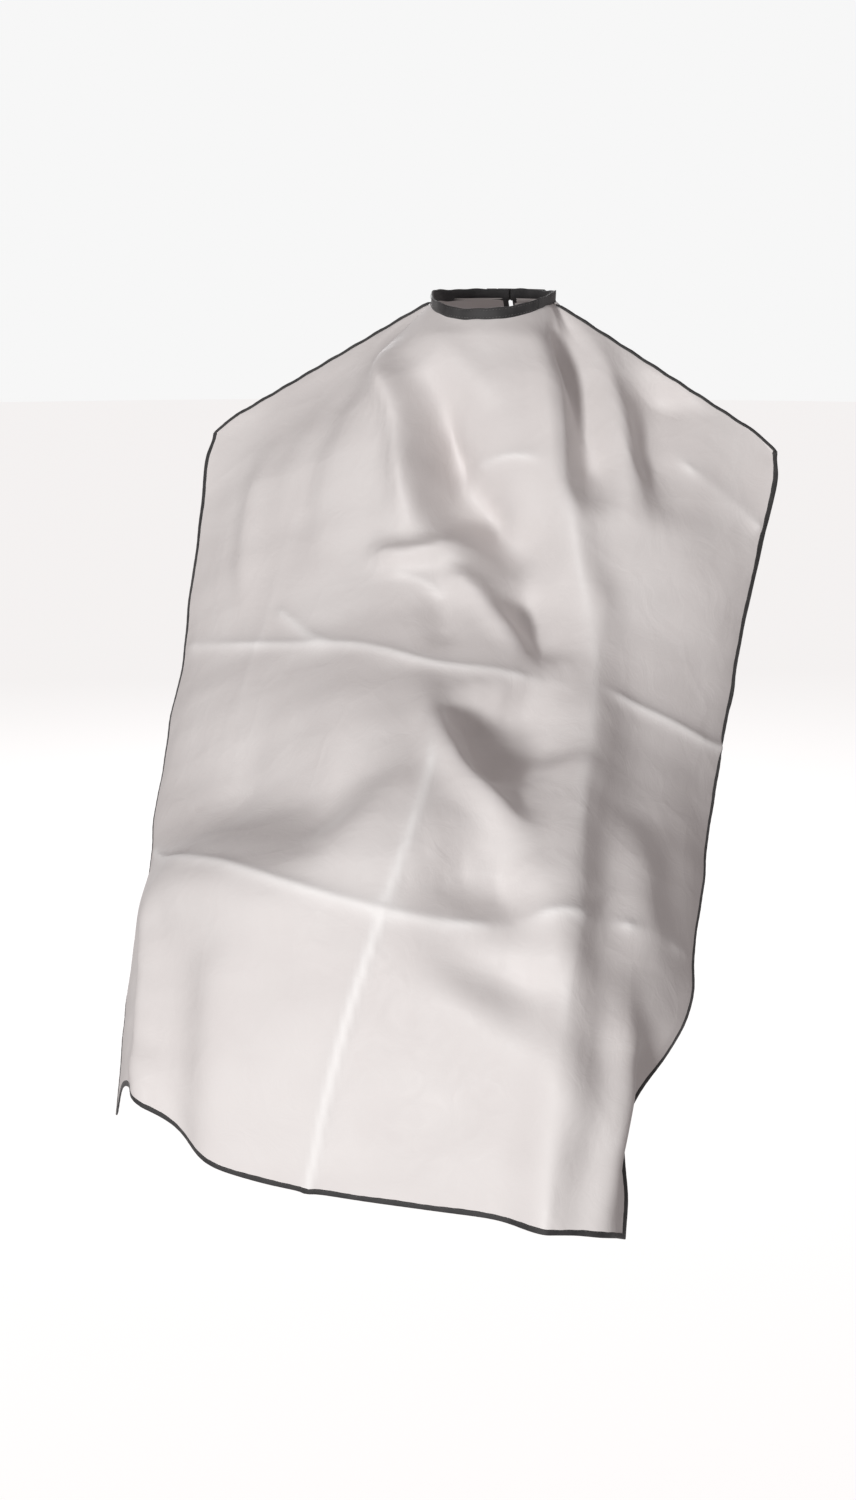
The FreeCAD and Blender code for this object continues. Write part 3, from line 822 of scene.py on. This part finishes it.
backs_fine = {}
for side, coarse in backs_coarse.items():
    grid = finished(coarse)
    grid = grid[:, ::-1] if side > 0 else grid
    uneven = ripple(grid, 11 + side, 0.12, 0.0040) + ripple(grid, 21 + side, 0.05, 0.0008)
    uneven *= np.clip(share_of(run(grid, 0)) / BACK_RIPPLE_TOP, 0, 1)[:, None]
    backs_fine[side] = squared_seam(rounded_corners(grid + normals(grid) * uneven[:, :, None]), side)


def with_arm(piece):
    """Bake a piece of the back into its world place."""
    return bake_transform(piece)


CLOTH_THICK = 0.0007
BACK_CREASE = (0.1, 60, 0.003)  # share across, sharpness for each share, and height in metres

front = cloth_sheet("front_panel_cloth", front_fine, CLOTH_THICK, CLOTH, front_crease_highlight)
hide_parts("front_panel")
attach(front, "root")
backs = {}
for side, grid in backs_fine.items():
    across, down = shares(grid)
    place, sharpness, height = BACK_CREASE
    # The back crease's profile shapes the cloth and also paints a highlight along it, at 0.8 strength.
    crease_and_highlight = np.exp(-np.abs(across - place)[None, :] * sharpness) * smooth_step(down * 4)[:, None]
    creased = grid + normals(grid) * height * crease_and_highlight[:, :, None]
    panel = cloth_sheet(f"back_panel_cloth_{SIDE_NAMES[side]}", creased, CLOTH_THICK, CLOTH,
                        crease_and_highlight * 0.8)
    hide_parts(f"back_panel_{SIDE_NAMES[side]}")
    backs[side] = with_arm(panel)

# == bindings
BINDING_WIDTH = 0.0048
BINDING_HALF = 0.0008
BINDING_SHAPE = [  # section: shares of the width inwards and of the half thickness outwards
    (1.00, 0.45), (0.96, 0.80), (0.80, 1.00), (0.45, 1.05), (0.12, 1.10), (-0.06, 0.90), (-0.14, 0.45),
    (-0.14, -0.45), (-0.06, -0.90), (0.12, -1.10), (0.45, -1.05), (0.80, -1.00), (0.96, -0.80),
    (1.00, -0.45),
]


def edge_of(grid, name):
    """Edge line of a sheet, its unit directions into the sheet and the way the sheet faces."""
    facing = normals(grid)
    line, inside, out = {
        "hem": (grid[-1], grid[-3], facing[-1]),
        "first": (grid[:, 0], grid[:, 2], facing[:, 0]),
        "last": (grid[::-1, -1], grid[::-1, -3], facing[::-1, -1]),
    }[name]
    return line - out * CLOTH_THICK / 2, unit(inside - line), out


def binding(name, grid, edge, node):
    """Folded tape round one edge of a sheet, as a closed tube; its width wanders a little."""
    line, inward, out = edge_of(grid, edge)
    travelled = running(steps_of(line))
    width = BINDING_WIDTH * (1 + 0.05 * np.sin(travelled * 95) + 0.03 * np.sin(travelled * 410))
    half = BINDING_HALF * (1 + 0.10 * np.sin(travelled * 620 + 1))
    rings = np.empty((len(line), len(BINDING_SHAPE), 3))
    for index, (reach, height) in enumerate(BINDING_SHAPE):
        rings[:, index] = line + inward * (width * reach)[:, None] + out * (half * height)[:, None]
    piece = swept(name, rings, TAPE)
    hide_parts(node)
    return piece, (line, inward, out)


def picked(places, travelled, values):
    """Values at distances along a line, whose points are as far along it as travelled says."""
    return np.array([np.interp(places, travelled, values[:, axis]) for axis in range(3)]).T


def stitches(name, paths, length, pitch, radius):
    """Row of short threads along each path; a path is a line of points and the way it faces."""
    points, faces = [], []
    for line, out in paths:
        travelled = running(steps_of(line))
        starts = np.arange(pitch, travelled[-1] - length, pitch)
        start, end = (picked(places, travelled, line) for places in (starts, starts + length))
        facing = picked(starts, travelled, out)
        beside = unit(np.cross(end - start, facing))
        middle = (start + end) / 2
        rings = [start - facing * radius, middle + beside * radius, middle + facing * radius,
                 middle - beside * radius, middle - facing * radius, end - facing * radius]
        base = len(points)
        for index in range(len(starts)):
            first = base + index * 6
            points.extend(ring[index] for ring in rings)
            for a, b in ((1, 2), (2, 3), (3, 4), (4, 1)):
                faces.append((first, first + b, first + a))
                faces.append((first + 5, first + a, first + b))
    return make_piece(name, points, faces, THREAD)


def binding_stitches(name, line, inward, out):
    """Stitching along the inner edge of a binding, on both faces."""
    row = line + inward * BINDING_WIDTH * 0.82
    lift = out * BINDING_HALF * 1.02
    return stitches(name, [(row + lift, out), (row - lift, -out)], 0.0026, 0.0036, 0.00032)


FRONT_TAPES = [("hem", "hem", ""), ("side", "first", "_right"), ("side", "last", "_left")]
front_tapes = [binding(f"front_{kind}_tape{end}", front_fine, edge, f"front_{kind}_binding{end}")
               for kind, edge, end in FRONT_TAPES]
for piece, edge_line in front_tapes:
    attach(piece, "root")
    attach(binding_stitches(piece.name + "_stitches", *edge_line), "root")
for side, grid in backs_fine.items():
    side_name = SIDE_NAMES[side]
    outer, centre = ("first", "last") if side > 0 else ("last", "first")
    for kind, edge in (("back_hem", "hem"), ("back_side", outer), ("opening", centre)):
        piece, edge_line = binding(f"{kind}_tape_{side_name}", grid, edge, f"{kind}_binding_{side_name}")
        with_arm(piece)
        with_arm(binding_stitches(piece.name + "_stitches", *edge_line))


# == shoulder piping
PIPING_RADIUS = 0.0016
PIPING_LIFT = 0.0006  # how far its centre lies above the seam


def ring_frame(line):
    """Two unit directions square to a line at each of its points."""
    along = unit(np.gradient(line, axis=0))
    side_way = unit(np.cross(along, (0.0, 0.0, 1.0)))
    return side_way, np.cross(side_way, along)


def piping(side):
    """Corded black edge over the shoulder seam, with rounded ends and a slightly uneven line."""
    name = SIDE_NAMES[side]
    top = front_fine[0]
    seam = top[side * top[:, 0] > PIPING_START]
    seam = seam if side > 0 else seam[::-1]
    line = finer(np.concatenate([seam[:1], seam[::-3][::-1][1:]]), 3, 0)
    share = share_of(steps_of(line))
    line = line + np.outer(0.0004 * np.sin(share * 60), (0, 0, 1)) + (0, 0, PIPING_LIFT)
    side_way, up_way = ring_frame(line)
    ends = np.clip(np.minimum(share, 1 - share) * 120, 0.25, 1) ** 0.5
    radius = PIPING_RADIUS * ends * (1 + 0.05 * np.sin(share * 210))
    angles = np.linspace(0, 2 * math.pi, 12, endpoint=False)
    rings = (line[:, None] + side_way[:, None] * (radius[:, None] * np.cos(angles))[:, :, None]
             + up_way[:, None] * (radius[:, None] * np.sin(angles))[:, :, None])
    rings = rings if side > 0 else rings[:, ::-1]
    piece = swept(f"shoulder_piping_cord_{name}", rings, TAPE)
    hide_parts(f"shoulder_piping_{name}")
    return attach(piece, "root")


for side in (1, -1):
    piping(side)


# == neckband
BAND_HALF = 0.86 * BAND_TOP
BAND_SHAPE = [  # section: shares of the thickness outwards and of the half height
    (0.00, -1.00), (0.35, -1.04), (0.80, -0.98), (1.00, -0.90), (1.06, -0.40), (1.08, 0.10), (1.04, 0.60),
    (1.00, 0.92), (0.80, 1.02), (0.35, 1.04), (0.00, 1.00), (0.00, 0.35), (0.00, -0.35),
]


def round_neck(radius, angles, height):
    """Points round the neck at angles from the front centre."""
    return np.stack([radius * np.sin(angles), -radius * np.cos(angles), height], axis=-1)


def band_layer(name, first, last, inner, thick, height, material, seed, nodes):
    """One layer of a length of the neckband, from one angle to another, soft and a little uneven."""
    angles = np.radians(np.arange(first, last + 0.01, 1.5))
    sagging = np.array([sag(angle) for angle in angles])
    phase = np.random.default_rng(3).uniform(0, 6, 3)
    uneven = 0.0005 * (np.sin(angles * 7 + phase[0]) + 0.6 * np.sin(angles * 17 + phase[1]))
    taller = height * (1 + 0.05 * np.sin(angles * 5 + phase[2] + seed))
    rings = np.empty((len(angles), len(BAND_SHAPE), 3))
    for index, (reach, level) in enumerate(BAND_SHAPE):
        radius = inner + thick * reach + uneven * (0.6 + 0.4 * level)
        rings[:, index] = round_neck(radius, angles, taller * level - sagging + uneven)
    piece = swept(name, rings, material)
    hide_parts(*nodes)
    return piece


BAND_LENGTHS = [("front", -62.0, 62.0, 0), ("left", 62.0, 179.0, 1), ("right", -179.0, -62.0, -1)]
LINING_THICK = 0.0014
SEWN_LEVELS = (-0.66, 0.70)  # heights of the two rows of stitches, as shares of the half height
SEWN_RADIUS = BAND_OUTER + 0.0004
for length, first, last, side in BAND_LENGTHS:
    skin = band_layer(f"neckband_skin_{length}", first, last, NECK_RADIUS,
                      BAND_OUTER - BAND_INNER - LINING_DEPTH, BAND_HALF, BAND, 0.0,
                      [f"neckband_{length}_outer", f"neckband_{length}_interlining"])
    lining = band_layer(f"neckband_soft_lining_{length}", first, last, BAND_INNER, LINING_THICK,
                        BAND_HALF * 0.97, LINING, 1.0, [f"neckband_{length}_lining"])
    angles = np.radians(np.arange(first, last, 0.75))
    sagging = np.array([sag(angle) for angle in angles])
    rows = [(round_neck(SEWN_RADIUS, angles, BAND_HALF * level - sagging),
             round_neck(1, angles, 0 * angles)) for level in SEWN_LEVELS]
    sewing = stitches(f"neckband_stitches_{length}", rows, 0.0024, 0.0033, 0.0003)
    for piece in (skin, lining, sewing):
        if side:
            with_arm(piece)
        else:
            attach(piece, "root")


# == closure
STRIP_SHAPE = [  # section: shares of the thickness outwards and of the half height
    (0.0, -0.94), (0.25, -1.0), (0.75, -1.0), (1.0, -0.93), (1.04, -0.5), (1.04, 0.5),
    (1.0, 0.93), (0.75, 1.0), (0.25, 1.0), (0.0, 0.94), (0.0, 0.4), (0.0, -0.4),
]


def strip(name, first, last, inner, thick, height, material, rounded=0.0, step=1.0):
    """Curved strip outside the neckband, from one angle to another; rounded rounds its first end."""
    angles = np.radians(np.arange(first, last + 0.01, step))
    travelled = (angles - angles[0]) * inner
    half = np.full(len(angles), height / 2)
    if rounded:
        inside = np.clip(1 - travelled / rounded, 0, 1)
        half = height / 2 - rounded * (1 - np.sqrt(np.maximum(1 - inside ** 2, 0)))
    rings = np.empty((len(angles), len(STRIP_SHAPE), 3))
    for index, (reach, level) in enumerate(STRIP_SHAPE):
        rings[:, index] = round_neck(inner + thick * reach, angles, half * level)
    return swept(name, rings, material)


TAB_HEIGHT, STRIP_HEIGHT = (
    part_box(node)[1][2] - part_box(node)[0][2] for node in ("closure_tab", "loop_strip"))
TAPE_THICK = 0.0008
TAB_THICK = 0.0009
ANCHOR_THICK = 0.0029
LOOP_INNER = BAND_OUTER + 0.0001
PAD_INNER = BAND_OUTER + 0.00115
TAB_INNER = PAD_INNER + TAPE_THICK

loop = strip("loop_strip_pile", 126, 178, LOOP_INNER, TAPE_THICK, STRIP_HEIGHT, LOOP)
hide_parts("loop_strip")
with_arm(loop)
pad = strip("hook_pad_tape", 142, 176, PAD_INNER, TAPE_THICK, STRIP_HEIGHT, HOOK)
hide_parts("hook_pad")
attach(pad, "tab")
tab = strip("closure_tab_cloth", 140, 192, TAB_INNER, TAB_THICK, TAB_HEIGHT, BAND,
            rounded=0.004, step=0.5)
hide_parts("closure_tab")
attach(tab, "tab")
anchor = strip("tab_anchor_cloth", 193.3, 202.4, LOOP_INNER, ANCHOR_THICK, TAB_HEIGHT, BAND,
               step=0.5)
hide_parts("tab_anchor")
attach(anchor, "right_arm")


def box_of_stitches(name, first, last, radius, half):
    """Sewn square with a cross in it, on the outside of the band."""
    corners = [(first, -half), (last, -half), (last, half), (first, half), (first, -half), (last, half)]
    ends = [*zip(corners, corners[1:]), ((first, half), (last, -half))]
    rows = []
    for start, end in ends:
        degrees, height = np.linspace(start, end, 12).T
        points = round_neck(radius, np.radians(degrees), height)
        rows.append((points, points * (1, 1, 0) / radius))
    return stitches(name, rows, 0.0017, 0.0024, 0.00028)


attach(box_of_stitches("tab_anchor_stitches", 194.3, 201.4, BAND_OUTER + 0.0031, 0.0042), "right_arm")
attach(box_of_stitches("tab_stitches", 143.5, 174.5, TAB_INNER + 0.00095, 0.0043), "tab")


def care_label():
    """Blank folded satin label under the neckband, with a soft curl."""
    low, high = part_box("care_label")
    u, v = np.meshgrid(np.linspace(0, 1, 11), np.linspace(0, 1, 25))
    curl = 0.0016 * v ** 2 + 0.0006 * np.sin(u * math.pi) * v
    grid = np.stack([high[0] + (low[0] - high[0]) * u, low[1] + 0.0002 - curl,
                     high[2] + (low[2] - high[2]) * v], axis=-1)
    piece = cloth_sheet("care_label_satin", grid, 0.0004, SATIN)
    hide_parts("care_label")
    return with_arm(piece)


care_label()

# == a pass over the back panels that only looks up their side names
for side, panel in backs.items():
    name = SIDE_NAMES[side]

# == floor, light and camera
FLOOR_RADIUS = 14
FLOOR_LEVEL = -1.25
FLOOR_SIDES = 96
floor_mesh = bpy.data.meshes.new("studio_floor")
around = [(FLOOR_RADIUS * math.cos(turn), FLOOR_RADIUS * math.sin(turn), FLOOR_LEVEL)
          for turn in np.linspace(0, 2 * math.pi, FLOOR_SIDES, endpoint=False)]
floor_mesh.from_pydata(around, [], [list(range(FLOOR_SIDES))])
floor = in_scene("studio_floor", floor_mesh)
floor_material, _, floor_shader = new_material("studio_floor")
set_inputs(floor_shader, {"Base Color": (0.45, 0.45, 0.45, 1), "Roughness": 0.9,
                          "Emission Color": (1.0, 0.985, 0.98, 1), "Emission Strength": 0.755})
floor_mesh.materials.append(floor_material)
floor.visible_diffuse = False
floor.visible_glossy = False

# The backdrop looks white, and only part of its light falls on the cape.
world = bpy.data.worlds.new("studio_world")
scene.world = world
world.use_nodes = True
world_tree = world.node_tree
fill = world_tree.nodes["Background"]
set_inputs(fill, {"Color": (1.0, 0.92, 0.91, 1), "Strength": 0.31})
backdrop = add_node(world_tree, "ShaderNodeBackground", Color=(1.0, 1.0, 1.0, 1), Strength=0.93)
path = world_tree.nodes.new("ShaderNodeLightPath")
choice = world_tree.nodes.new("ShaderNodeMixShader")
link(path.outputs["Is Camera Ray"], choice, "Fac")
link(fill.outputs["Background"], choice, 1)
link(backdrop.outputs["Background"], choice, 2)
link(choice.outputs["Shader"], world_tree.nodes["World Output"], "Surface")


MIDDLE = Vector((0.0, -0.2, -0.42))


def area_light(name, place, size, power, colour):
    """Soft square light aimed at the middle of the cape."""
    light = bpy.data.lights.new(name, "AREA")
    light.size = size
    light.energy = power
    light.color = colour
    lamp = in_scene(name, light)
    lamp.location = place
    lamp.rotation_euler = (MIDDLE - Vector(place)).to_track_quat("-Z", "Y").to_euler()


area_light("key_light", (-0.6, -5.9, -0.55), 1.0, 222, (1.0, 0.995, 0.985))
area_light("back_light", (-1.2, 2.8, 1.2), 1.4, 45, (0.98, 0.985, 1.0))

CAMERA_AZIMUTH = math.radians(18)
CAMERA_ELEVATION = math.radians(13)
CAMERA_PLACE = (0.721, -2.438, 0.103)
camera_data = bpy.data.cameras.new("camera")
camera_data.sensor_fit = "VERTICAL"
camera_data.sensor_height = 24.0
camera_data.lens = 38.46
camera = in_scene("camera", camera_data)
camera.location = CAMERA_PLACE
camera.rotation_euler = (math.pi / 2 - CAMERA_ELEVATION, 0, CAMERA_AZIMUTH)
scene.camera = camera
scene.view_settings.view_transform = "Standard"
